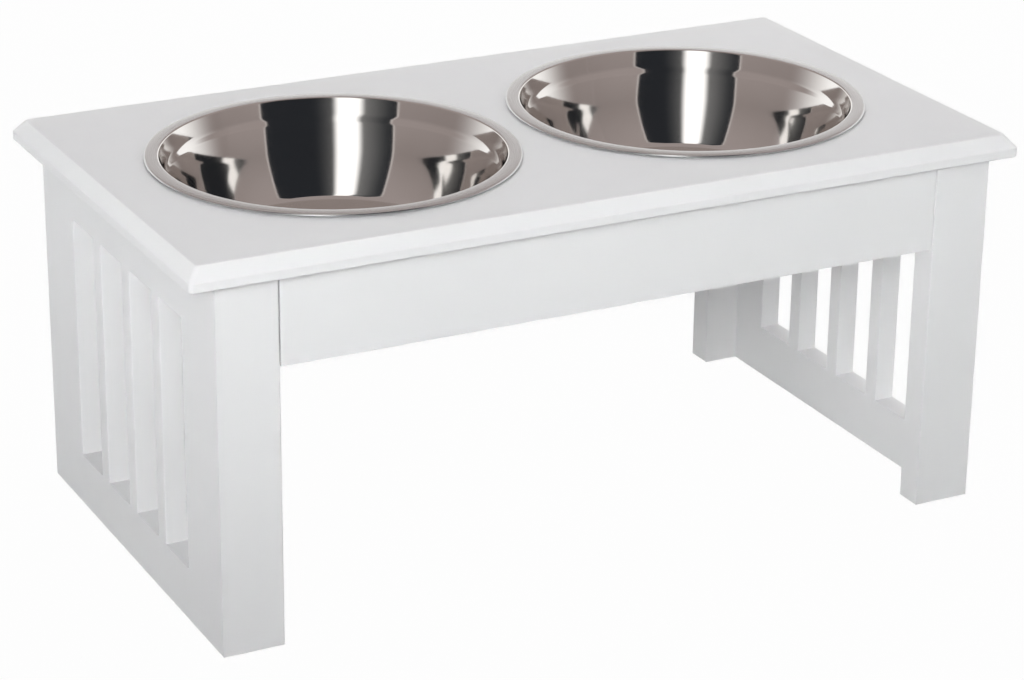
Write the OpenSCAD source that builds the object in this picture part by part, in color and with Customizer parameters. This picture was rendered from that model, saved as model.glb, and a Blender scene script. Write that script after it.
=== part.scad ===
// Raised feeder stand for a dog: a bevelled top board on two slatted end frames and two
// aprons, with a pair of steel bowls that hang by their rims and lift out.
// Millimetres. The origin is on the floor under the middle of the stand, +X runs along the
// stand, +Y to its back and +Z up.

/* [Bowls] */
// Outside diameter of a bowl's rim
rim_d = 244; // [200:1:280]
// Width of the flat rim, from its outer edge to the bowl's mouth
rim_w = 9.5; // [7:0.5:14]
// Height of the rolled hem that the rim stands on
rim_h = 2.4; // [1.8:0.1:3]
// Width of the hem under the rim, with its round outer edge
hem_w = 3; // [2.5:0.1:4]
// Rounding where the rim turns down into the bowl
lip_r = 1.5; // [1.5:0.1:4]
// Thickness of the steel
steel_t = 0.8; // [0.6:0.1:1.2]
// Depth of the bowl inside, from the top of its rim
bowl_depth = 64; // [48:1:80]
// Height of the band under the mouth
band_h = 11.5; // [6:0.5:16]
// Slope of the band from upright, in degrees
band_lean = 18; // [0:1:20]
// Height of the sloping shoulder under the band
shoulder_h = 4; // [3:0.5:8]
// How far the shoulder steps inwards
shoulder_w = 2.2; // [1:0.1:5]
// Slope of the wall from upright just under the shoulder, in degrees
neck_lean = 24; // [22:1:28]
// Slope of the wall at its waist, where it stands most upright
waist_lean = 17; // [10:1:19]
// Slope of the wall at its foot
foot_lean = 29; // [25:1:35]
// Share of the wall's height that lies above the waist
neck_share = 0.4; // [0.3:0.05:0.5]
// Radius between the wall and the flat floor
floor_fillet = 3; // [2:0.5:10]
// Gap between the two rims
rim_gap = 17; // [8:1:60]
// Space between a bowl's band and the edge of its hole
hole_clearance = 1.5; // [0.5:0.1:3]

/* [Top board] */
// Height of the top face above the floor
stand_h = 260; // [180:1:400]
// Thickness of the top board
top_t = 15; // [13:1:25]
// Board beyond each rim at the ends
end_margin = 41; // [35:0.5:90]
// Board beyond each rim at the front and back
side_margin = 37; // [30:1:80]
// Width of the bevel round the top face
bevel_w = 7; // [3:0.5:12]
// Height of the bevel
bevel_h = 8.5; // [3:0.5:10]

/* [Legs and end frames] */
// Overhang of the top past the legs at each end
overhang_end = 18; // [5:0.5:20]
// Overhang of the top past the legs at the front and back
overhang_side = 7; // [4:0.5:12]
// Width of a leg along the stand
leg_w = 41; // [30:1:50]
// Thickness of a leg from front to back
leg_t = 20; // [18:1:26]
// Rounding of a leg's outer corners
leg_edge_r = 1.5; // [0.5:0.25:4]
// Thickness of the rails, stiles and slats
frame_t = 15; // [14:1:18]
// Height of an end frame's top rail
top_rail_h = 39; // [36:1:60]
// Height of an end frame's bottom rail
bottom_rail_h = 37; // [36:1:60]
// Width of a slat
slat_w = 13; // [10:0.5:20]
// Gap beside each slat
slat_gap = 38.5; // [25:0.5:40]

/* [Aprons] */
// Height of an apron
apron_h = 58; // [50:1:80]
// Thickness of an apron
apron_t = 15; // [14:1:20]
// Seam between an apron's end and the leg
apron_seam = 0.7; // [0.2:0.1:0.8]

/* [Dowels] */
// Diameter of the dowels in the rails and aprons
dowel_d = 8; // [6:0.5:9]
// Length of the dowels in the rails and aprons
dowel_l = 30; // [25:1:36]
// Length of such a dowel that sits in the leg
dowel_in_leg = 12; // [8:0.5:14]
// Distance of the first rail dowel from the rail's outer edge
rail_dowel_edge = 8; // [7:0.5:10]
// Distance between the two dowels at a rail's end
rail_dowel_pitch = 12; // [10:0.5:13]
// Distance of an apron's dowel below the apron's top edge
apron_dowel_drop = 14; // [8:0.5:18]
// Diameter of the dowels in the stiles and slats
slat_dowel_d = 6; // [5:0.5:7]
// Length of the dowels in the stiles and slats
slat_dowel_l = 20; // [14:1:22]
// Radial clearance of a dowel or screw in its hole
dowel_fit = 0.1; // [0.05:0.05:0.3]
// Room past the end of a dowel or screw in its hole
end_room = 0.5; // [0.3:0.1:1]
// Chamfer on the ends of a dowel
dowel_chamfer = 0.8; // [0.3:0.1:1.2]

/* [Cam fittings] */
// Diameter of a cam lock
cam_d = 15; // [12:0.5:16]
// Depth of a cam lock
cam_h = 12; // [10.5:0.5:12.5]
// Distance of a cam's middle from the apron's end
cam_setback = 24; // [20:0.5:34]
// Height of a cam's middle above the apron's lower edge
cam_rise = 19; // [12:0.5:26]
// Distance of the cam bolt's axis from the apron's inner face
cam_bolt_depth = 7; // [6:0.25:7.5]
// Diameter of the cam bolt's thread in the leg
cam_bolt_d = 6; // [5:0.5:6.5]
// Length of the cam bolt's thread in the leg
cam_bolt_in_leg = 11; // [8:0.5:14]
// Diameter of the cam bolt's collar and head
cam_head_d = 7; // [6.5:0.25:7]
// Thickness of the cam bolt's collar against the leg
cam_collar_t = 2; // [1.5:0.25:3]
// Diameter of the cam bolt's neck
cam_neck_d = 3.5; // [3:0.25:4.5]
// Length of the cam bolt's neck behind its head
cam_neck_l = 5; // [4:0.25:6]
// Length of the cam bolt's head
cam_head_l = 3; // [2.5:0.25:3.5]
// Radial clearance of the cam bolt in the apron and in the cam
cam_bolt_fit = 0.5; // [0.3:0.1:0.8]
// Width of the slots of the cam's cross recess
cam_slot_w = 1.4; // [1:0.1:2]
// Length of the slots of the cam's cross recess
cam_slot_l = 7; // [5:0.5:9]
// Depth of the cam's cross recess
cam_slot_depth = 2; // [1:0.25:2.25]

/* [Brackets] */
// Length of each arm of an angle bracket
bracket_arm = 25; // [22:1:30]
// Width of an angle bracket
bracket_w = 16; // [12:1:20]
// Thickness of an angle bracket
bracket_t = 2; // [1.5:0.25:3]
// Distance of a bracket's screw from the bracket's corner
bracket_hole_in = 15; // [13:0.5:17]
// Distance of a corner bracket's middle from the rail's end
bracket_inset = 38; // [32:1:50]
// Diameter of a bracket screw's shank
screw_d = 3.5; // [3:0.25:4]
// Length of a bracket screw under its head
screw_l = 12; // [10:0.5:12.5]
// Diameter of a bracket screw's head
screw_head_d = 7; // [6.5:0.25:8]
// Height of a bracket screw's head
screw_head_h = 2.2; // [1.8:0.1:3]
// Radial clearance of a screw in its bracket
screw_fit = 0.3; // [0.2:0.05:0.5]
// Width of the slots of a screw head's cross recess
screw_slot_w = 0.9; // [0.6:0.1:1.2]
// Length of the slots of a screw head's cross recess
screw_slot_l = 4; // [3:0.25:5]
// Depth of a screw head's cross recess
screw_slot_depth = 1.2; // [0.8:0.1:1.4]

/* [Hidden] */

$fn = 96;
// Cutters reach this far past the face that they open
cut = 1;
// Straight steps along each rounded stretch of a bowl's section
arc_steps = 8;

paint_white = "white";
beech = "burlywood";
bowl_steel = "silver";
zinc = "lightslategray";

// Sides of the stand: left and right along X, front and back along Y
left = -1;
right = 1;
front = -1;
back = 1;
both = [-1, 1];

// Top board and bowls
bowl_x = (rim_d + rim_gap) / 2;
rim_r = rim_d / 2;
mouth_r = rim_r - rim_w;
hole_r = mouth_r + steel_t + hole_clearance;
top_l = 2 * rim_d + rim_gap + 2 * end_margin;
top_w = rim_d + 2 * side_margin;
frame_h = stand_h - top_t;
rim_z = stand_h + rim_h;

// Bowl section: the rim's rolled edge, the lip, the band's foot and the wall's head
bead_r = rim_h / 2;
bead_at = [rim_r - bead_r, -bead_r];
lip_at = [mouth_r + lip_r * (1 - sin(band_lean)) / cos(band_lean), -lip_r];
band_foot = [mouth_r - band_h * tan(band_lean), -band_h];
wall_head = band_foot - [shoulder_w, shoulder_h];

// The wall: an arc that bends out above the waist, one that bends in below it, and the fillet
wall_h = bowl_depth + wall_head.y - floor_fillet * (1 - sin(foot_lean));
neck_r = neck_share * wall_h / (sin(neck_lean) - sin(waist_lean));
belly_r = (1 - neck_share) * wall_h / (sin(foot_lean) - sin(waist_lean));
neck_at = wall_head + neck_r * slope_normal(neck_lean);
waist = neck_at - neck_r * slope_normal(waist_lean);
belly_at = waist - belly_r * slope_normal(waist_lean);
fillet_at = belly_at + (belly_r - floor_fillet) * slope_normal(foot_lean);

// Faces of the legs, end frames and aprons, for the right and the back
body_x = top_l / 2 - overhang_end;
body_y = top_w / 2 - overhang_side;
leg_x = body_x - leg_w;
leg_y = body_y - leg_t;
frame_x = body_x - frame_t;
frame_mid_x = body_x - frame_t / 2;
apron_y = body_y - apron_t;
apron_mid_y = body_y - apron_t / 2;
apron_x = leg_x - apron_seam;
apron_z = frame_h - apron_h;

// Uprights between the rails: place along Y and width, from front to back
slat_pitch = slat_w + slat_gap;
stile_w = leg_y - 2 * slat_gap - 1.5 * slat_w;
stile_y = leg_y - stile_w / 2;
upright_z = bottom_rail_h;
upright_h = frame_h - bottom_rail_h - top_rail_h;
upright_ys = [-stile_y, -slat_pitch, 0, slat_pitch, stile_y];

// Heights of the fittings
bottom_dowel_zs = [for (i = [0, 1]) rail_dowel_edge + i * rail_dowel_pitch];
top_dowel_zs = [for (z = bottom_dowel_zs) frame_h - z];
rail_dowel_zs = concat(bottom_dowel_zs, top_dowel_zs);
apron_dowel_z = frame_h - apron_dowel_drop;
cam_x = apron_x - cam_setback;
cam_z = apron_z + cam_rise;
cam_bolt_y = apron_y + cam_bolt_depth;
cam_bolt_reach = leg_x - cam_x + cam_head_l / 2;
bracket_y = leg_y - bracket_inset;
bracket_screw_z = frame_h - bracket_hole_in;
pilot_l = screw_l - bracket_t;

// Draws its children, modelled for the right side and the back, at the side and face given
module at_corner(side, face) {
    mirror([side < 0 ? 1 : 0, 0, 0])
        mirror([0, face < 0 ? 1 : 0, 0])
            children();
}

// Draws its children at all four corners
module at_corners() {
    for (side = both, face = both)
        at_corner(side, face) children();
}

// A block from its lowest corner to its highest
module block(low, high) {
    translate(low) cube(high - low);
}

// A round hole or pin from a point along +X, +Y or +Z
module rod_x(point, d, l) {
    translate(point) rotate([0, 90, 0]) cylinder(d = d, h = l);
}

module rod_y(point, d, l) {
    translate(point) rotate([-90, 0, 0]) cylinder(d = d, h = l);
}

module rod_z(point, d, l) {
    translate(point) cylinder(d = d, h = l);
}

// A dowel along +Z with chamfered ends
module dowel(d, l) {
    rotate_extrude()
        polygon([
            [0, 0], [d / 2 - dowel_chamfer, 0], [d / 2, dowel_chamfer],
            [d / 2, l - dowel_chamfer], [d / 2 - dowel_chamfer, l], [0, l]
        ]);
}

// The shape of the top board, without its holes: two bevelled sections crossed
module bevelled_board() {
    intersection() {
        rotate([90, 0, 0])
            linear_extrude(height = top_w, center = true) board_section(top_l);
        rotate([90, 0, 90])
            linear_extrude(height = top_l, center = true) board_section(top_w);
    }
}

module board_section(width) {
    polygon([
        [-width / 2, frame_h], [width / 2, frame_h],
        [width / 2, stand_h - bevel_h], [width / 2 - bevel_w, stand_h],
        [-width / 2 + bevel_w, stand_h], [-width / 2, stand_h - bevel_h]
    ]);
}

module top_board() {
    hole_d = screw_d + 2 * dowel_fit;
    hole_l = pilot_l + end_room + cut;
    color(paint_white)
        difference() {
            bevelled_board();
            for (side = both)
                rod_z([side * bowl_x, 0, frame_h - cut], 2 * hole_r, top_t + 2 * cut);
            at_corners()
                rod_z([frame_x - bracket_hole_in, bracket_y, frame_h - cut], hole_d, hole_l);
            for (face = both)
                rod_z([0, face * (apron_y - bracket_hole_in), frame_h - cut], hole_d, hole_l);
        }
}

// An apron, modelled at the back
module apron(face) {
    dowel_hole_l = dowel_l - dowel_in_leg + end_room + cut;
    bolt_hole_l = cam_setback + cut;
    color(paint_white)
        at_corner(right, face)
            difference() {
                block([-apron_x, apron_y, apron_z], [apron_x, body_y, frame_h]);
                for (side = both)
                    at_corner(side, back) {
                        rod_x([apron_x + cut - dowel_hole_l, apron_mid_y, apron_dowel_z],
                            dowel_d + 2 * dowel_fit, dowel_hole_l);
                        rod_x([apron_x + cut - bolt_hole_l, cam_bolt_y, cam_z],
                            cam_head_d + 2 * cam_bolt_fit, bolt_hole_l);
                        rod_y([cam_x, apron_y - cut, cam_z],
                            cam_d + 2 * dowel_fit, cam_h + end_room + cut);
                    }
                rod_y([0, apron_y - cut, bracket_screw_z],
                    screw_d + 2 * dowel_fit, pilot_l + end_room + cut);
            }
}

// Section of a leg, with its two outer corners rounded
module leg_section() {
    translate([leg_x, leg_y]) square([leg_w, leg_t - leg_edge_r]);
    translate([leg_x + leg_edge_r, leg_y]) square([leg_w - 2 * leg_edge_r, leg_t]);
    for (x = [leg_x + leg_edge_r, body_x - leg_edge_r])
        translate([x, body_y - leg_edge_r]) circle(r = leg_edge_r);
}

module leg(side, face) {
    color(paint_white)
        at_corner(side, face)
            difference() {
                linear_extrude(height = frame_h) leg_section();
                for (z = rail_dowel_zs)
                    rod_y([frame_mid_x, leg_y - cut, z],
                        dowel_d + 2 * dowel_fit, dowel_in_leg + end_room + cut);
                rod_x([leg_x - cut, apron_mid_y, apron_dowel_z],
                    dowel_d + 2 * dowel_fit, dowel_in_leg + end_room + cut);
                rod_x([leg_x - cut, cam_bolt_y, cam_z],
                    cam_bolt_d + 2 * dowel_fit, cam_bolt_in_leg + end_room + cut);
            }
}

// A rail from height low to height high, with its end dowels at the heights dowel_zs
module rail_blank(low, high, dowel_zs) {
    hole_l = dowel_l - dowel_in_leg + end_room + cut;
    difference() {
        block([frame_x, -leg_y, low], [body_x, leg_y, high]);
        for (face = both, z = dowel_zs)
            at_corner(right, face)
                rod_y([frame_mid_x, leg_y + cut - hole_l, z], dowel_d + 2 * dowel_fit, hole_l);
    }
}

// Holes for the dowels of the uprights, from the height low up
module upright_holes(low, l) {
    for (y = upright_ys)
        rod_z([frame_mid_x, y, low], slat_dowel_d + 2 * dowel_fit, l);
}

module top_rail(side) {
    color(paint_white)
        at_corner(side, back)
            difference() {
                rail_blank(frame_h - top_rail_h, frame_h, top_dowel_zs);
                upright_holes(frame_h - top_rail_h - cut, slat_dowel_l / 2 + end_room + cut);
                for (face = both)
                    rod_x([frame_x - cut, face * bracket_y, bracket_screw_z],
                        screw_d + 2 * dowel_fit, pilot_l + end_room + cut);
            }
}

module bottom_rail(side) {
    hole_l = slat_dowel_l / 2 + end_room + cut;
    color(paint_white)
        at_corner(side, back)
            difference() {
                rail_blank(0, bottom_rail_h, bottom_dowel_zs);
                upright_holes(bottom_rail_h + cut - hole_l, hole_l);
            }
}

// A stile or slat between the rails
module upright(side, y, w) {
    hole_l = slat_dowel_l / 2 + end_room + cut;
    color(paint_white)
        at_corner(side, back)
            difference() {
                block([frame_x, y - w / 2, upright_z], [body_x, y + w / 2, upright_z + upright_h]);
                for (low = [upright_z - cut, upright_z + upright_h + cut - hole_l])
                    rod_z([frame_mid_x, y, low], slat_dowel_d + 2 * dowel_fit, hole_l);
            }
}

module stile(side, face) {
    upright(side, face * stile_y, stile_w);
}

module slat(side, place) {
    upright(side, place * slat_pitch, slat_w);
}

// Outward normal of a wall that slopes by an angle from upright
function slope_normal(lean) = [cos(lean), -sin(lean)];

// Points of an arc from angle a to angle b, from its first or its second point on
function arc(centre, r, a, b, first = 0) =
    [for (i = [first:arc_steps]) let (t = a + (b - a) * i / arc_steps) centre + r * [cos(t), sin(t)]];

// Half section of a bowl, with the top of its rim at height zero
function bowl_section() =
    concat(
        [[0, -bowl_depth]],
        arc(fillet_at, floor_fillet, -90, -foot_lean),
        arc(belly_at, belly_r, -foot_lean, -waist_lean, 1),
        arc(neck_at, neck_r, 180 - waist_lean, 180 - neck_lean, 1),
        [band_foot],
        arc(lip_at, lip_r, 180 - band_lean, 90),
        arc(bead_at, bead_r, 90, -90),
        [[rim_r - hem_w, -rim_h], [rim_r - hem_w, -steel_t]],
        arc(lip_at, lip_r - steel_t, 90, 180 - band_lean),
        [band_foot + steel_t * slope_normal(band_lean)],
        arc(neck_at, neck_r - steel_t, 180 - neck_lean, 180 - waist_lean),
        arc(belly_at, belly_r + steel_t, -waist_lean, -foot_lean, 1),
        arc(fillet_at, floor_fillet + steel_t, -foot_lean, -90, 1),
        [[0, -bowl_depth - steel_t]]
    );

module bowl(side) {
    color(bowl_steel)
        translate([side * bowl_x, 0, rim_z])
            rotate_extrude($fn = 180) polygon(bowl_section());
}

module rail_dowels(side) {
    color(beech)
        for (face = both, z = rail_dowel_zs)
            at_corner(side, face)
                translate([frame_mid_x, leg_y + dowel_in_leg - dowel_l, z])
                    rotate([-90, 0, 0]) dowel(dowel_d, dowel_l);
}

module slat_dowels(side) {
    color(beech)
        at_corner(side, back)
            for (y = upright_ys, z = [upright_z, upright_z + upright_h])
                translate([frame_mid_x, y, z - slat_dowel_l / 2]) dowel(slat_dowel_d, slat_dowel_l);
}

module apron_dowels() {
    color(beech)
        at_corners()
            translate([leg_x + dowel_in_leg - dowel_l, apron_mid_y, apron_dowel_z])
                rotate([0, 90, 0]) dowel(dowel_d, dowel_l);
}

// A cam bolt along +Z, with the leg's face at height zero and its head at the lower end
module cam_bolt() {
    head_z = -cam_bolt_reach;
    neck_z = head_z + cam_head_l;
    rotate_extrude()
        polygon([
            [0, head_z], [cam_head_d / 2, head_z],
            [cam_head_d / 2, neck_z], [cam_neck_d / 2, neck_z],
            [cam_neck_d / 2, neck_z + cam_neck_l], [cam_bolt_d / 2, neck_z + cam_neck_l],
            [cam_bolt_d / 2, -cam_collar_t], [cam_head_d / 2, -cam_collar_t],
            [cam_head_d / 2, 0], [cam_bolt_d / 2, 0],
            [cam_bolt_d / 2, cam_bolt_in_leg], [0, cam_bolt_in_leg]
        ]);
}

module cam_bolts() {
    color(zinc)
        at_corners()
            translate([leg_x, cam_bolt_y, cam_z]) rotate([0, 90, 0]) cam_bolt();
}

// A cross recess cut down into a face at height zero
module cross_recess(l, w, depth) {
    for (turn = [0, 90])
        rotate([0, 0, turn])
            translate([-l / 2, -w / 2, -depth]) cube([l, w, depth + cut]);
}

// A cam lock along +Y from the apron's inner face, hollow where the cam bolt's head sits
module cam_lock() {
    pocket_l = cam_d / 2 + cam_head_l / 2 + end_room + cut;
    difference() {
        rod_y([cam_x, apron_y, cam_z], cam_d, cam_h);
        rod_x([cam_x + cam_d / 2 + cut - pocket_l, cam_bolt_y, cam_z],
            cam_head_d + 2 * cam_bolt_fit, pocket_l);
        translate([cam_x, apron_y, cam_z]) rotate([90, 0, 0])
            cross_recess(cam_slot_l, cam_slot_w, cam_slot_depth);
    }
}

module cam_locks() {
    color(zinc) at_corners() cam_lock();
}

// An angle bracket in the corner between a face at x = 0 and the top board at z = 0,
// with its arms along -X and -Z
module bracket() {
    hole_d = screw_d + 2 * screw_fit;
    difference() {
        union() {
            block([-bracket_arm, -bracket_w / 2, -bracket_t], [0, bracket_w / 2, 0]);
            block([-bracket_t, -bracket_w / 2, -bracket_arm], [0, bracket_w / 2, 0]);
        }
        rod_z([-bracket_hole_in, 0, -bracket_t - cut], hole_d, bracket_t + 2 * cut);
        rod_x([-bracket_t - cut, 0, -bracket_hole_in], hole_d, bracket_t + 2 * cut);
    }
}

// A pan-head screw along +Z, with its seat under the head at height zero
module screw() {
    rod_z([0, 0, 0], screw_d, screw_l);
    difference() {
        rod_z([0, 0, -screw_head_h], screw_head_d, screw_head_h);
        translate([0, 0, -screw_head_h]) rotate([180, 0, 0])
            cross_recess(screw_slot_l, screw_slot_w, screw_slot_depth);
    }
}

// The place of a bracket on the right back corner's rail
module at_corner_brackets() {
    at_corners()
        translate([frame_x, bracket_y, frame_h]) children();
}

// The place of a bracket at the middle of each apron
module at_apron_brackets() {
    for (face = both)
        at_corner(right, face)
            translate([0, apron_y, frame_h]) rotate([0, 0, 90]) children();
}

module corner_brackets() {
    color(zinc) at_corner_brackets() bracket();
}

module apron_brackets() {
    color(zinc) at_apron_brackets() bracket();
}

// The screw of a bracket's upright arm
module frame_screw() {
    translate([-bracket_t, 0, -bracket_hole_in]) rotate([0, 90, 0]) screw();
}

// The screw of a bracket's level arm
module top_screw() {
    translate([-bracket_hole_in, 0, -bracket_t]) screw();
}

module bracket_frame_screws() {
    color(zinc) {
        at_corner_brackets() frame_screw();
        at_apron_brackets() frame_screw();
    }
}

module bracket_top_screws() {
    color(zinc) {
        at_corner_brackets() top_screw();
        at_apron_brackets() top_screw();
    }
}

top_board();
apron(front);  // front_apron
apron(back);  // back_apron
leg(left, front);  // front_left_leg
leg(left, back);  // back_left_leg
leg(right, front);  // front_right_leg
leg(right, back);  // back_right_leg
top_rail(left);  // left_top_rail
top_rail(right);  // right_top_rail
bottom_rail(left);  // left_bottom_rail
bottom_rail(right);  // right_bottom_rail
stile(left, front);  // left_front_stile
stile(left, back);  // left_back_stile
stile(right, front);  // right_front_stile
stile(right, back);  // right_back_stile
slat(left, -1);  // left_front_slat
slat(left, 0);  // left_middle_slat
slat(left, 1);  // left_back_slat
slat(right, -1);  // right_front_slat
slat(right, 0);  // right_middle_slat
slat(right, 1);  // right_back_slat
bowl(left);  // left_bowl
bowl(right);  // right_bowl
rail_dowels(left);  // left_rail_dowels
rail_dowels(right);  // right_rail_dowels
slat_dowels(left);  // left_slat_dowels
slat_dowels(right);  // right_slat_dowels
apron_dowels();
cam_bolts();
cam_locks();
corner_brackets();
apron_brackets();
bracket_frame_screws();
bracket_top_screws();
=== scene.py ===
"""Looks of the raised feeder stand: painted boards with eased edges, polished bowls, a white studio."""
import math

import bmesh
import bpy
from mathutils import Matrix, Vector

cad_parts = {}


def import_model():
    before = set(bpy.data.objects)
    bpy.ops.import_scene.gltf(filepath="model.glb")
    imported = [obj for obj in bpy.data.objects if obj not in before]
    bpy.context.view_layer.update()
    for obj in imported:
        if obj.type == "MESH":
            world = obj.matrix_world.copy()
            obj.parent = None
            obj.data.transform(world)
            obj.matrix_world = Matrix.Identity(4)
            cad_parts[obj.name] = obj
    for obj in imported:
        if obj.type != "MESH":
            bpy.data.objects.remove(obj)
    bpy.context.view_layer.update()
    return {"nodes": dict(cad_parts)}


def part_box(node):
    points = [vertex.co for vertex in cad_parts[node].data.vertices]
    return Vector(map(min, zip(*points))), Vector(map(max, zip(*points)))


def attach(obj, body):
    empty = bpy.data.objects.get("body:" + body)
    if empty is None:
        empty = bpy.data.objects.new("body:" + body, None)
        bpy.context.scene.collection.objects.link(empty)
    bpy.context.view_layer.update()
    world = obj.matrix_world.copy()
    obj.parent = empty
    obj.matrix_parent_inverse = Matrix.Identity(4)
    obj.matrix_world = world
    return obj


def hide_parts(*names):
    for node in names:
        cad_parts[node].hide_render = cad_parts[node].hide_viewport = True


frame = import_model()

MM = 0.001

# Camera, from the photograph's own lines: place in metres, angles in degrees
CAMERA_EYE = Vector((-0.9093, -1.7558, 0.9097))
CAMERA_AZIMUTH = -27.39
CAMERA_ELEVATION = 22.08
CAMERA_ROLL = 0.685
CAMERA_LENS = 110.3
CAMERA_SENSOR = 36.0

# Eased edges of the painted boards
EDGE_R = 0.8 * MM
LEG_EDGE_R = 1.5 * MM
SEAM_R = 0.2 * MM
EDGE_STEPS = 4
SHARP_ANGLE = math.radians(50)
BROAD_FACE_WEIGHT = 100

# Top board: bevel and roundings
BEVEL_W = 7.0 * MM
BEVEL_H = 8.5 * MM
BEVEL_ROUND = 1.4 * MM
TOP_LOWER_ROUND = 1.4 * MM
TOP_CORNER_R = 3.0 * MM
TOP_CORNER_STEPS = 8
HOLE_R = 114.8 * MM
HOLE_ROUND = 0.8 * MM
HOLE_SEGMENTS = 192

# Bowl section, measured from the top of the rim; slopes are in degrees from upright
RIM_W = 9.5 * MM
RIM_H = 2.4 * MM
RIM_MARGIN = 0.2 * MM
HEM_W = 3.0 * MM
HEM_R = 0.3 * MM
HEM_INSET = 2.2 * MM
CURL_H = 1.4 * MM
CURL_R = 1.3 * MM
STEEL_T = 0.8 * MM
LIP_R = 1.2 * MM
BAND_H = 11.5 * MM
BAND_LEAN = 18.0
SHOULDER_H = 4.0 * MM
SHOULDER_W = 2.2 * MM
SHOULDER_R = 16.0 * MM
NECK_LEAN = 24.0
WAIST_LEAN = 17.0
FOOT_LEAN = 29.0
NECK_SHARE = 0.4
FLOOR_R = 6.0 * MM
BOWL_DEPTH = 64.0 * MM
BOWL_SEGMENTS = 256
WALL_STEPS = 12


def link(obj):
    bpy.context.scene.collection.objects.link(obj)
    return obj


def mesh_object(name, bm):
    mesh = bpy.data.meshes.new(name)
    for edge in bm.edges:
        edge.smooth = edge.calc_face_angle(0) < SHARP_ANGLE
    bm.to_mesh(mesh)
    bm.free()
    return link(bpy.data.objects.new(name, mesh))


def smooth(obj):
    """Smooth shading whose normals follow the broad faces."""
    for face in obj.data.polygons:
        face.use_smooth = True
    weighted = obj.modifiers.new("broad faces", "WEIGHTED_NORMAL")
    weighted.weight = BROAD_FACE_WEIGHT
    weighted.keep_sharp = True
    return obj


# Materials: each one's pair of colours, and the span that most values of a noise lie in
PAINT_TONES = (0.798, 0.80, 0.808), (0.822, 0.824, 0.83)
MIRROR_TONES = (0.74, 0.72, 0.70), (0.77, 0.755, 0.74)
RIM_TONES = (0.71, 0.72, 0.725), (0.77, 0.78, 0.785)
BEECH_TONES = (0.46, 0.29, 0.15), (0.62, 0.43, 0.25)
ZINC_TONES = (0.50, 0.51, 0.53), (0.64, 0.65, 0.67)
NOISE_LOW = 0.3
NOISE_HIGH = 0.7


def new_material(name):
    material = bpy.data.materials.new(name)
    material.use_nodes = True
    tree = material.node_tree
    return material, tree, tree.nodes["Principled BSDF"]


def node(tree, kind, **values):
    made = tree.nodes.new(kind)
    for key, value in values.items():
        setattr(made, key, value)
    return made


def object_place(tree):
    return node(tree, "ShaderNodeTexCoord").outputs["Object"]


def noise(tree, vector, scale, detail, roughness=0.5):
    made = node(tree, "ShaderNodeTexNoise")
    made.inputs["Scale"].default_value = scale
    made.inputs["Detail"].default_value = detail
    made.inputs["Roughness"].default_value = roughness
    tree.links.new(vector, made.inputs["Vector"])
    return made.outputs["Fac"]


def ramp(tree, value, low=0.0, high=1.0):
    """A noise spread over the span from low to high."""
    made = node(tree, "ShaderNodeMapRange")
    made.inputs["From Min"].default_value = NOISE_LOW
    made.inputs["From Max"].default_value = NOISE_HIGH
    made.inputs["To Min"].default_value = low
    made.inputs["To Max"].default_value = high
    tree.links.new(value, made.inputs["Value"])
    return made.outputs["Result"]


def two_colours(tree, value, first, second):
    made = node(tree, "ShaderNodeMix", data_type="RGBA")
    made.inputs["A"].default_value = (*first, 1)
    made.inputs["B"].default_value = (*second, 1)
    tree.links.new(value, made.inputs["Factor"])
    return made.outputs["Result"]


def bump(tree, shader, height, strength, distance, under=None):
    """Relief on a shader, on top of the relief under it if there is one; distance is in metres."""
    made = node(tree, "ShaderNodeBump")
    made.inputs["Strength"].default_value = strength
    made.inputs["Distance"].default_value = distance
    tree.links.new(height, made.inputs["Height"])
    if under is not None:
        tree.links.new(under, made.inputs["Normal"])
    tree.links.new(made.outputs["Normal"], shader.inputs["Normal"])
    return made.outputs["Normal"]


def paint_material():
    """Satin white paint, sprayed: faint orange peel, a slow drift in tone and in gloss."""
    material, tree, shader = new_material("satin_white_paint")
    place = object_place(tree)
    drift = ramp(tree, noise(tree, place, scale=9, detail=3))
    tree.links.new(two_colours(tree, drift, *PAINT_TONES), shader.inputs["Base Color"])
    gloss = ramp(tree, noise(tree, place, scale=60, detail=4), low=0.36, high=0.46)
    tree.links.new(gloss, shader.inputs["Roughness"])
    peel = bump(tree, shader, noise(tree, place, scale=160, detail=2), strength=0.05, distance=0.6 * MM)
    bump(tree, shader, noise(tree, place, scale=900, detail=2), strength=0.06, distance=0.2 * MM, under=peel)
    return material


def round_lines(tree, place, scale):
    """Fine lines that run round the object's own Z axis."""
    parts = node(tree, "ShaderNodeSeparateXYZ")
    tree.links.new(place, parts.inputs["Vector"])
    flat = node(tree, "ShaderNodeCombineXYZ")
    tree.links.new(parts.outputs["X"], flat.inputs["X"])
    tree.links.new(parts.outputs["Y"], flat.inputs["Y"])
    radius = node(tree, "ShaderNodeVectorMath", operation="LENGTH")
    tree.links.new(flat.outputs["Vector"], radius.inputs[0])
    line = node(tree, "ShaderNodeCombineXYZ")
    tree.links.new(radius.outputs["Value"], line.inputs["X"])
    tree.links.new(parts.outputs["Z"], line.inputs["Y"])
    return noise(tree, line.outputs["Vector"], scale, detail=3, roughness=0.6)


def mirror_material():
    """Polished stainless steel with faint lines from the polishing wheel."""
    material, tree, shader = new_material("polished_steel")
    shader.inputs["Metallic"].default_value = 1.0
    place = object_place(tree)
    lines = round_lines(tree, place, scale=2600)
    drift = ramp(tree, noise(tree, place, scale=30, detail=3))
    tree.links.new(two_colours(tree, drift, *MIRROR_TONES), shader.inputs["Base Color"])
    tree.links.new(ramp(tree, lines, low=0.045, high=0.095), shader.inputs["Roughness"])
    bump(tree, shader, lines, strength=0.02, distance=0.05 * MM)
    return material


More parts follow.
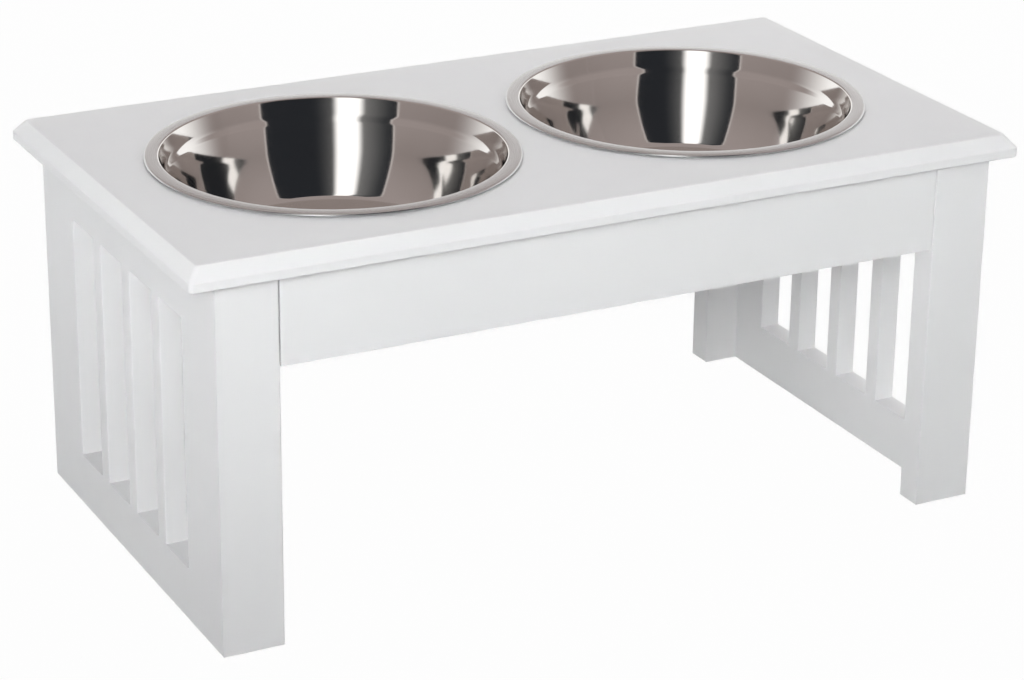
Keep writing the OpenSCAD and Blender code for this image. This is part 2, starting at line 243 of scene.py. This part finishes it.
def rim_material():
    """The flat rim: the same steel, brushed round."""
    material, tree, shader = new_material("brushed_rim_steel")
    shader.inputs["Metallic"].default_value = 1.0
    lines = round_lines(tree, object_place(tree), scale=4200)
    tree.links.new(two_colours(tree, ramp(tree, lines), *RIM_TONES), shader.inputs["Base Color"])
    tree.links.new(ramp(tree, lines, low=0.2, high=0.32), shader.inputs["Roughness"])
    bump(tree, shader, lines, strength=0.06, distance=0.06 * MM)
    return material


def beech_material():
    """Bare beech, finely flecked."""
    material, tree, shader = new_material("bare_beech")
    grain = noise(tree, object_place(tree), scale=420, detail=5, roughness=0.65)
    tree.links.new(two_colours(tree, ramp(tree, grain), *BEECH_TONES), shader.inputs["Base Color"])
    tree.links.new(ramp(tree, grain, low=0.55, high=0.75), shader.inputs["Roughness"])
    bump(tree, shader, grain, strength=0.15, distance=0.2 * MM)
    return material


def zinc_material():
    """Bright zinc plate, slightly mottled."""
    material, tree, shader = new_material("zinc_plate")
    shader.inputs["Metallic"].default_value = 1.0
    mottle = noise(tree, object_place(tree), scale=260, detail=4, roughness=0.6)
    tree.links.new(two_colours(tree, ramp(tree, mottle), *ZINC_TONES), shader.inputs["Base Color"])
    tree.links.new(ramp(tree, mottle, low=0.26, high=0.42), shader.inputs["Roughness"])
    bump(tree, shader, mottle, strength=0.05, distance=0.1 * MM)
    return material


PAINT = paint_material()
MIRROR = mirror_material()
RIM = rim_material()
BEECH = beech_material()
ZINC = zinc_material()


# Painted boards

def board(name, rounds):
    """A board in its node's place. rounds gives the radius of each edge to ease: an edge is named by the
    axis that it runs along and the sides that it lies on, as ("z", +1, -1) at high X and low Y."""
    low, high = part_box(name)
    centre, size = (low + high) / 2, high - low
    bm = bmesh.new()
    bmesh.ops.create_cube(bm, size=1.0)
    radii = {}
    for edge in bm.edges:
        middle = (edge.verts[0].co + edge.verts[1].co) / 2
        axis = min(range(3), key=lambda i: abs(middle[i]))
        key = ("xyz"[axis], *[1 if middle[i] > 0 else -1 for i in range(3) if i != axis])
        if key in rounds:
            radii.setdefault(rounds[key], []).append(edge)
    bmesh.ops.scale(bm, vec=size, verts=bm.verts)
    bmesh.ops.translate(bm, vec=centre, verts=bm.verts)
    for radius, edges in radii.items():
        live = [e for e in edges if e.is_valid]
        bmesh.ops.bevel(
            bm, geom=live, offset=radius, offset_type="OFFSET", segments=EDGE_STEPS, profile=0.5,
            affect="EDGES", clamp_overlap=True)
    piece = smooth(mesh_object("painted_" + name, bm))
    return dress(piece, name, "stand", "painted_wood", PAINT)


def dress(piece, name, body, slot, *materials):
    for material in materials:
        piece.data.materials.append(material)
    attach(piece, body)
    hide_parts(name)
    return piece


def legs():
    for end, x in (("left", -1), ("right", 1)):
        for face, y in (("front", -1), ("back", 1)):
            rounds = {("z", x, y): LEG_EDGE_R, ("z", -x, y): EDGE_R, ("z", -x, -y): EDGE_R}
            rounds.update({("x", y, -1): EDGE_R, ("y", -x, -1): EDGE_R, ("y", x, -1): EDGE_R})
            board(f"{face}_{end}_leg", rounds)


def end_frames():
    for end, x in (("left", -1), ("right", 1)):
        board(f"{end}_top_rail", {})
        board(f"{end}_bottom_rail", {("y", -1, -1): EDGE_R, ("y", 1, -1): EDGE_R})
        for face, y in (("front", -1), ("back", 1)):
            board(f"{end}_{face}_stile", {("z", 1, -y): EDGE_R, ("z", -1, -y): EDGE_R})
        for place in ("front", "middle", "back"):
            board(f"{end}_{place}_slat", {("z", a, b): EDGE_R for a in (-1, 1) for b in (-1, 1)})


def aprons():
    for face, y in (("front", -1), ("back", 1)):
        board(f"{face}_apron", {
            ("x", y, -1): EDGE_R, ("x", -y, -1): EDGE_R,
            ("z", -1, y): SEAM_R, ("z", 1, y): SEAM_R})


# Paths of a section, with rounded corners
SAME_POINT = 0.01 * MM


def add_point(path, point):
    """Add a point to a path, unless it lies on the last one."""
    if not path or (point - path[-1]).length > SAME_POINT:
        path.append(point)


def rounded_path(corners, steps):
    """Points along a path of (first, second, radius) corners, each rounded by an arc of its radius."""
    points = []
    for i, (a, b, radius) in enumerate(corners):
        here = Vector((a, b))
        if radius == 0 or i in (0, len(corners) - 1):
            add_point(points, here)
            continue
        before = (Vector(corners[i - 1][:2]) - here).normalized()
        after = (Vector(corners[i + 1][:2]) - here).normalized()
        half = before.angle(after) / 2
        reach = radius / math.tan(half)
        centre = here + (before + after).normalized() * (radius / math.sin(half))
        start, end = here + before * reach - centre, here + after * reach - centre
        sweep = start.angle_signed(end)
        for k in range(steps + 1):
            turn = -sweep * k / steps
            add_point(points, centre + Matrix.Rotation(turn, 2) @ start)
    return points


# Top board

def corner_ring(half_x, half_y, inset, corner_r):
    """Rectangle inset from the board's outline, with rounded corners, anticlockwise from +X +Y."""
    ring = []
    for quarter, (sx, sy) in enumerate(((1, 1), (-1, 1), (-1, -1), (1, -1))):
        centre = Vector((sx * (half_x - inset - corner_r), sy * (half_y - inset - corner_r)))
        for k in range(TOP_CORNER_STEPS + 1):
            angle = math.radians(90) * (quarter + k / TOP_CORNER_STEPS)
            ring.append(centre + corner_r * Vector((math.cos(angle), math.sin(angle))))
    return ring


def add_ring(bm, points, z):
    return [bm.verts.new((p.x, p.y, z)) for p in points]


def bridge(bm, lower, upper):
    """Faces between two closed rings of as many points."""
    count = len(lower)
    for i in range(count):
        j = (i + 1) % count
        bm.faces.new((lower[i], lower[j], upper[j], upper[i]))


def circle(centre_x, radius, segments):
    return [
        Vector((centre_x + radius * math.cos(a), radius * math.sin(a)))
        for a in (math.tau * i / segments for i in range(segments))]


def fill_between(bm, outline, holes):
    """A flat face with holes, as triangles between the rings' edges."""
    edges = []
    for ring in [outline, *holes]:
        for i, vert in enumerate(ring):
            after = ring[(i + 1) % len(ring)]
            edges.append(bm.edges.get((vert, after)) or bm.edges.new((vert, after)))
    bmesh.ops.triangle_fill(bm, use_beauty=True, edges=edges)


def top_board():
    low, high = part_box("top_board")
    half_x, half_y = high.x, high.y
    rim_path = rounded_path([
        (BEVEL_W + 2 * BEVEL_ROUND, high.z, 0), (BEVEL_W, high.z, BEVEL_ROUND),
        (0, high.z - BEVEL_H, BEVEL_ROUND), (0, low.z, TOP_LOWER_ROUND), (2 * TOP_LOWER_ROUND, low.z, 0)],
        EDGE_STEPS)
    bm = bmesh.new()
    rings = [add_ring(bm, corner_ring(half_x, half_y, p.x, TOP_CORNER_R), p.y) for p in rim_path]
    for upper, lower in zip(rings, rings[1:]):
        bridge(bm, lower, upper)
    hole_path = rounded_path([
        (HOLE_R + 2 * HOLE_ROUND, high.z, 0), (HOLE_R, high.z, HOLE_ROUND),
        (HOLE_R, low.z, HOLE_ROUND), (HOLE_R + 2 * HOLE_ROUND, low.z, 0)], EDGE_STEPS)
    tops, bottoms = [], []
    for name in ("left_bowl", "right_bowl"):
        a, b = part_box(name)
        hole = [add_ring(bm, circle((a.x + b.x) / 2, p.x, HOLE_SEGMENTS), p.y) for p in hole_path]
        for upper, lower in zip(hole, hole[1:]):
            bridge(bm, upper, lower)
        tops.append(hole[0])
        bottoms.append(hole[-1])
    fill_between(bm, rings[0], tops)
    fill_between(bm, rings[-1], bottoms)
    bmesh.ops.recalc_face_normals(bm, faces=bm.faces)
    piece = smooth(mesh_object("painted_top_board", bm))
    dress(piece, "top_board", "stand", "painted_wood", PAINT)


# Bowls

def slope_normal(lean):
    """Outward normal, in the half section, of a wall that slopes by an angle from upright."""
    return Vector((math.cos(math.radians(lean)), -math.sin(math.radians(lean))))


def wall_path(head, thickness):
    """The wall from the middle of the floor up to its head, moved out by a thickness of steel: a fillet,
    an arc that bends in below the waist and one that bends out above it."""
    neck, waist, foot = (math.sin(math.radians(lean)) for lean in (NECK_LEAN, WAIST_LEAN, FOOT_LEAN))
    height = BOWL_DEPTH + head.y - FLOOR_R * (1 - foot)
    neck_r = NECK_SHARE * height / (neck - waist)
    belly_r = (1 - NECK_SHARE) * height / (foot - waist)
    neck_at = head + neck_r * slope_normal(NECK_LEAN)
    belly_at = neck_at - (neck_r + belly_r) * slope_normal(WAIST_LEAN)
    fillet_at = belly_at + (belly_r - FLOOR_R) * slope_normal(FOOT_LEAN)
    path = [Vector((0, -BOWL_DEPTH - thickness))]
    arcs = (
        (fillet_at, FLOOR_R + thickness, 90.0, FOOT_LEAN),
        (belly_at, belly_r + thickness, FOOT_LEAN, WAIST_LEAN),
        (neck_at, thickness - neck_r, WAIST_LEAN, NECK_LEAN))
    for centre, radius, first, last in arcs:
        for k in range(WALL_STEPS + 1):
            add_point(path, centre + radius * slope_normal(first + (last - first) * k / WALL_STEPS))
    return path


def bowl_section(rim_r):
    """Half section of a bowl from the middle of its floor over the rim to the middle of its underside."""
    mouth_r = rim_r - RIM_W
    band_foot = Vector((mouth_r - BAND_H * math.tan(math.radians(BAND_LEAN)), -BAND_H))
    head = band_foot - Vector((SHOULDER_W, SHOULDER_H))
    hem_r = rim_r - HEM_INSET
    inside = wall_path(head, 0.0)
    upper = rounded_path([
        (*inside[-2], 0), (*head, SHOULDER_R), (*band_foot, SHOULDER_R), (mouth_r, 0, LIP_R),
        (rim_r, 0, CURL_R), (rim_r, -CURL_H, 0), (hem_r, -CURL_H, 0), (hem_r, -RIM_H, HEM_R),
        (rim_r - HEM_W, -RIM_H, HEM_R),
        (rim_r - HEM_W, -STEEL_T, 0)], 2 * EDGE_STEPS)
    outside = wall_path(head, STEEL_T)
    outer_foot = band_foot + STEEL_T * slope_normal(BAND_LEAN)
    outer_mouth = outer_foot + Vector((math.tan(math.radians(BAND_LEAN)), 1)) * (-STEEL_T - outer_foot.y)
    under = rounded_path([
        (rim_r - HEM_W, -STEEL_T, 0), (*outer_mouth, LIP_R - STEEL_T), (*outer_foot, SHOULDER_R),
        (*outside[-1], SHOULDER_R), (*outside[-2], 0)], 2 * EDGE_STEPS)
    return inside[:-2] + upper[:-1] + under + outside[-3::-1]


def fan(bm, ring, tip):
    """Faces between a closed ring and one point."""
    for i, vert in enumerate(ring):
        bm.faces.new((vert, ring[(i + 1) % len(ring)], tip))


def lathe(bm, path, segments):
    """A half section turned round the Z axis. Its two ends lie on the axis."""
    first, *between, last = path
    rings = [add_ring(bm, circle(0, point.x, segments), point.y) for point in between]
    fan(bm, rings[0], bm.verts.new((0, 0, first.y)))
    for inner, outer in zip(rings, rings[1:]):
        bridge(bm, inner, outer)
    fan(bm, rings[-1], bm.verts.new((0, 0, last.y)))


def bowl(name):
    low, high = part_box(name)
    rim_r = (high.y - low.y) / 2
    bm = bmesh.new()
    lathe(bm, bowl_section(rim_r), BOWL_SEGMENTS)
    bmesh.ops.recalc_face_normals(bm, faces=bm.faces)
    flange_r = rim_r - RIM_W + LIP_R * math.tan(math.radians(45 - BAND_LEAN / 2))
    for face in bm.faces:
        face.smooth = True
        middle = face.calc_center_median()
        on_rim = middle.xy.length > flange_r - RIM_MARGIN and middle.z > -RIM_H - RIM_MARGIN
        face.material_index = 1 if on_rim else 0
    piece = mesh_object("polished_" + name, bm)
    piece.location = ((low.x + high.x) / 2, 0, high.z)
    dress(piece, name, name, "bowl_steel", MIRROR, RIM)


def hidden_fittings():
    for name, cad in frame["nodes"].items():
        if name.endswith("dowels"):
            material = BEECH
        elif name.startswith(("cam_", "bracket_")) or name.endswith("brackets"):
            material = ZINC
        else:
            continue
        cad.data.materials.clear()
        cad.data.materials.append(material)


# Studio

def light_path_white(tree, shadowed, share):
    """White to the camera and to mirrors, with some of the shadowed shader left in."""
    path = node(tree, "ShaderNodeLightPath")
    seen = node(tree, "ShaderNodeMath", operation="MAXIMUM")
    tree.links.new(path.outputs["Is Camera Ray"], seen.inputs[0])
    tree.links.new(path.outputs["Is Glossy Ray"], seen.inputs[1])
    also = node(tree, "ShaderNodeMath", operation="MAXIMUM")
    tree.links.new(seen.outputs[0], also.inputs[0])
    tree.links.new(path.outputs["Is Transmission Ray"], also.inputs[1])
    amount = node(tree, "ShaderNodeMath", operation="MULTIPLY")
    amount.inputs[1].default_value = share
    tree.links.new(also.outputs[0], amount.inputs[0])
    white = node(tree, "ShaderNodeEmission")
    white.inputs["Strength"].default_value = 1.0
    mix = node(tree, "ShaderNodeMixShader")
    tree.links.new(amount.outputs[0], mix.inputs["Fac"])
    tree.links.new(shadowed, mix.inputs[1])
    tree.links.new(white.outputs["Emission"], mix.inputs[2])
    return mix.outputs["Shader"]


FLOOR_SIZE = 40.0
FLOOR_GREY = (0.35, 0.35, 0.35, 1)
FLOOR_ROUGHNESS = 0.8
FLOOR_WHITE_SHARE = 0.98


def floor():
    bm = bmesh.new()
    bmesh.ops.create_grid(bm, x_segments=1, y_segments=1, size=FLOOR_SIZE / 2)
    piece = mesh_object("floor", bm)
    material, tree, shader = new_material("white_floor")
    shader.inputs["Base Color"].default_value = FLOOR_GREY
    shader.inputs["Roughness"].default_value = FLOOR_ROUGHNESS
    out = tree.nodes["Material Output"]
    tree.links.new(light_path_white(tree, shader.outputs["BSDF"], FLOOR_WHITE_SHARE), out.inputs["Surface"])
    piece.data.materials.append(material)


WORLD_FILL = 0.13


def world():
    made = bpy.data.worlds.new("white_studio")
    made.use_nodes = True
    tree = made.node_tree
    fill = tree.nodes["Background"]
    fill.inputs["Color"].default_value = (1, 1, 1, 1)
    fill.inputs["Strength"].default_value = WORLD_FILL
    out = tree.nodes["World Output"]
    tree.links.new(light_path_white(tree, fill.outputs["Background"], 1.0), out.inputs["Surface"])
    bpy.context.scene.world = made


# Lamps: what they aim at and their sizes in metres, powers in watts
STAND_MIDDLE = (0, 0, 0.15)
ABOVE_TOP = (0, 0, 0.36)
SOFT_BOX = (1.2, 1.0)
LOW_BOX = (1.2, 0.4)
NEAR_BOX = (0.6, 0.5)
ABOVE_BOX = (1.6, 1.2)


def area_light(name, place, target, size, power, spread=180):
    """A lamp that no mirror shows. A spread in degrees under 180 stands for a grid before it."""
    data = bpy.data.lights.new(name, "AREA")
    data.shape = "RECTANGLE"
    data.size, data.size_y = size
    data.energy = power
    data.spread = math.radians(spread)
    lamp = link(bpy.data.objects.new(name, data))
    lamp.location = place
    lamp.rotation_mode = "QUATERNION"
    lamp.rotation_quaternion = (Vector(target) - Vector(place)).to_track_quat("-Z", "Y")
    lamp.visible_glossy = False


def lights():
    key_place, low_place, low_left_place = (-1.51, -1.8, 1.25), (-1.66, -1.98, 0.38), (-2.24, -1.29, 0.38)
    area_light("key_grid", key_place, ABOVE_TOP, SOFT_BOX, 1.52, spread=14)
    area_light("near", (-0.85, -1.1, 1.05), STAND_MIDDLE, NEAR_BOX, 7)
    area_light("low", low_place, STAND_MIDDLE, LOW_BOX, 3)
    area_light("low_grid", low_place, ABOVE_TOP, LOW_BOX, 0.29, spread=12)
    area_light("low_left", low_left_place, STAND_MIDDLE, LOW_BOX, 6)
    area_light("low_left_grid", low_left_place, ABOVE_TOP, LOW_BOX, 0.17, spread=12)
    area_light("right", (1.35, -1.93, 1.25), STAND_MIDDLE, SOFT_BOX, 1)
    area_light("above", (0.5, 0.7, 2.2), STAND_MIDDLE, ABOVE_BOX, 9)
    area_light("back", (0.79, 2.16, 1.37), STAND_MIDDLE, SOFT_BOX, 23)
    area_light("right_end", (2.32, -0.41, 1.25), STAND_MIDDLE, SOFT_BOX, 17)


# Cards that only the steel and the gloss of the paint reflect: a warm tent that dims downwards, a white
# backdrop behind, a dark gap where the camera stands with an upright strip light in it, and a flag that
# closes the gap to the right. Each stands on a sphere round the bowls. Azimuths are from the front towards
# the left, in degrees.
CARD_CENTRE = Vector((0, 0, 0.25))
CARD_COLUMNS = 24
CARD_ROWS = 12
CARD_FOOT = -4
TENT_RADIUS = 4.5
FLAG_RADIUS = 0.73
WARM = (0.385, 0.332, 0.318)
DIM_WARM = (0.275, 0.235, 0.225)
PALE_EDGE = (0.62, 0.57, 0.55)
DARK = (0.02, 0.0225, 0.027)
WHITE = (1, 0.99, 0.98)


def card_mesh(name, radius, azimuths, top, dip):
    """Part of a sphere, from the foot of all cards up to its top, which dip lowers in the middle. Its UVs
    run along its width and its height."""
    bm = bmesh.new()
    uv = bm.loops.layers.uv.new("card")
    grid = []
    for r in range(CARD_ROWS + 1):
        line = []
        for c in range(CARD_COLUMNS + 1):
            across, up = c / CARD_COLUMNS, r / CARD_ROWS
            column_top = top - dip * math.sin(math.pi * across)
            e = math.radians(CARD_FOOT + (column_top - CARD_FOOT) * up)
            a = math.radians(azimuths[0] + (azimuths[1] - azimuths[0]) * across)
            way = Vector((-math.sin(a) * math.cos(e), -math.cos(a) * math.cos(e), math.sin(e)))
            line.append((bm.verts.new(CARD_CENTRE + way * radius), across, up))
        grid.append(line)
    for lower, upper in zip(grid, grid[1:]):
        for c in range(CARD_COLUMNS):
            corners = (lower[c], lower[c + 1], upper[c + 1], upper[c])
            face = bm.faces.new([vert for vert, _, _ in corners])
            for loop, (_, across, up) in zip(face.loops, corners):
                loop[uv].uv = (across, up)
    return mesh_object(name, bm)


def faded(tree, shown, fades):
    """A shader that turns clear at a card's left, right and upper ends, over these shares of the card."""
    parts = node(tree, "ShaderNodeSeparateXYZ")
    tree.links.new(node(tree, "ShaderNodeTexCoord").outputs["UV"], parts.inputs["Vector"])
    left, right, top = fades
    for axis, end, share in (("X", 0, left), ("X", 1, -right), ("Y", 1, -top)):
        if share == 0:
            continue
        fade = node(tree, "ShaderNodeMapRange", interpolation_type="SMOOTHSTEP")
        fade.inputs["From Min"].default_value = end
        fade.inputs["From Max"].default_value = end + share
        tree.links.new(parts.outputs[axis], fade.inputs["Value"])
        clear = node(tree, "ShaderNodeBsdfTransparent")
        mix = node(tree, "ShaderNodeMixShader")
        tree.links.new(fade.outputs["Result"], mix.inputs["Fac"])
        tree.links.new(clear.outputs["BSDF"], mix.inputs[1])
        tree.links.new(shown, mix.inputs[2])
        shown = mix.outputs["Shader"]
    return shown


def card(name, radius, azimuths, top, colour, strength=1.0, fades=(0, 0, 0), dip=0):
    piece = card_mesh(name, radius, azimuths, top, dip)
    material = bpy.data.materials.new(name)
    material.use_nodes = True
    tree = material.node_tree
    tree.nodes.clear()
    out = node(tree, "ShaderNodeOutputMaterial")
    glow = node(tree, "ShaderNodeEmission")
    glow.inputs["Color"].default_value = (*colour, 1)
    glow.inputs["Strength"].default_value = strength
    tree.links.new(faded(tree, glow.outputs["Emission"], fades), out.inputs["Surface"])
    piece.data.materials.append(material)
    piece.visible_camera = False
    piece.visible_diffuse = False
    piece.visible_shadow = False
    piece.visible_transmission = False


def cards():
    all_round = (-180, 180)
    dim_top, gap_top = 36, 62
    card("tent_card", TENT_RADIUS, all_round, 90, WARM)
    card("low_tent_card", TENT_RADIUS - 0.05, all_round, dim_top, DIM_WARM, fades=(0, 0, 1))
    card("backdrop_card", TENT_RADIUS - 0.1, (112, 298), 25, WHITE, 1.2, fades=(0.26, 0.2, 0.25), dip=5)
    card("opening_edge_card", TENT_RADIUS - 0.2, (-40, 71.4), 63.5, PALE_EDGE)
    card("dark_card", TENT_RADIUS - 0.3, (-40, 69.9), gap_top, DARK)
    card("left_glow_card", TENT_RADIUS - 0.4, (10, 40), gap_top, WHITE, 0.19, fades=(1, 0, 0))
    card("right_glow_card", TENT_RADIUS - 0.4, (40, 72), gap_top, WHITE, 0.23, fades=(0, 1, 0))
    card("strip_card", TENT_RADIUS - 0.9, (24.4, 48.9), gap_top, WHITE, 1.5, fades=(0.245, 0.245, 0))
    flag = (-58, -22.4)
    card("flag_card", FLAG_RADIUS, flag, 75, WARM)
    card("low_flag_card", FLAG_RADIUS - 0.01, flag, dim_top, DIM_WARM, fades=(0, 0, 1))
    card("flag_edge_card", FLAG_RADIUS, (flag[1], -20.9), gap_top, PALE_EDGE)


def camera():
    data = bpy.data.cameras.new("camera")
    data.sensor_width = CAMERA_SENSOR
    data.lens = CAMERA_LENS
    made = link(bpy.data.objects.new("camera", data))
    turn = (
        Matrix.Rotation(math.radians(CAMERA_AZIMUTH), 4, "Z")
        @ Matrix.Rotation(math.radians(90 - CAMERA_ELEVATION), 4, "X")
        @ Matrix.Rotation(math.radians(CAMERA_ROLL), 4, "Z"))
    made.matrix_world = Matrix.Translation(CAMERA_EYE) @ turn
    bpy.context.scene.camera = made


legs()
end_frames()
aprons()
top_board()
for bowl_name in ("left_bowl", "right_bowl"):
    bowl(bowl_name)
hidden_fittings()
floor()
world()
lights()
cards()
camera()

bpy.context.scene.view_settings.view_transform = "Standard"
